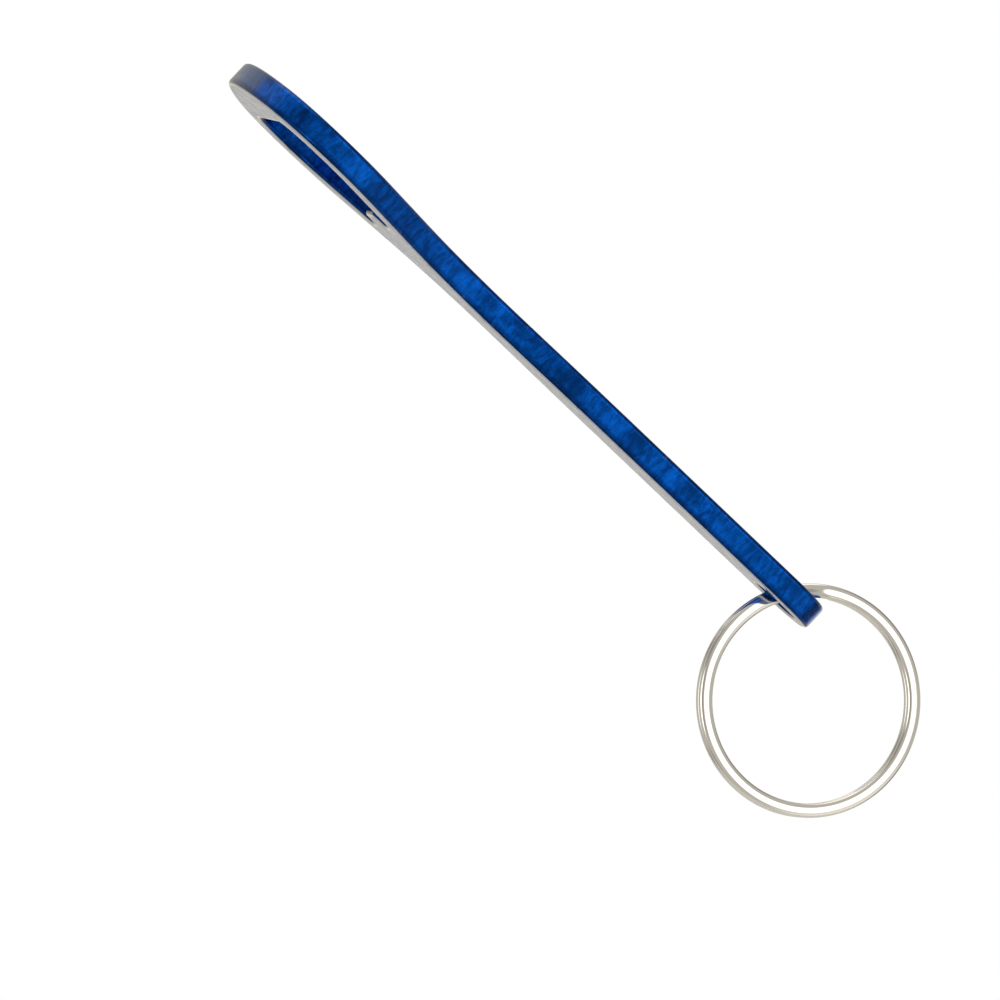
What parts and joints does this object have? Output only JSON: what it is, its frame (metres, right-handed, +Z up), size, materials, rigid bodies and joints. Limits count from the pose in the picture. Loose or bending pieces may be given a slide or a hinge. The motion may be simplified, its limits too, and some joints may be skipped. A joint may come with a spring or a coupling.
{
  "type": "keychain bottle opener",
  "caption": "Flat keychain bottle opener with an oval cap-lifting head, a narrow waist, a straight handle and a split ring through its tail.",
  "frame": {"origin": "centre of the cap opening in the head, at half the plate's thickness", "axes": "+Z up, +Y across the plate, +X from the head towards the handle; the plate slopes 43.5 degrees down from the head to the handle, as it hangs on a crown cap"},
  "size_m": [0.0743, 0.033, 0.0806],
  "materials": {
    "anodised_aluminium": "satin blue anodised",
    "plated_steel": "bright nickel plate"
  },
  "bodies": {
    "opener": {"opener_body": "anodised_aluminium"},
    "ring": {"split_ring": "plated_steel"}
  },
  "joints": [
    {"name": "ring_swing", "type": "hinge", "parent": "opener", "child": "ring", "pos_m": [0.04831, 0, -0.04584], "axis": [0.1594, -0.9844, 0.075], "range_deg": [0, 66]}
  ]
}
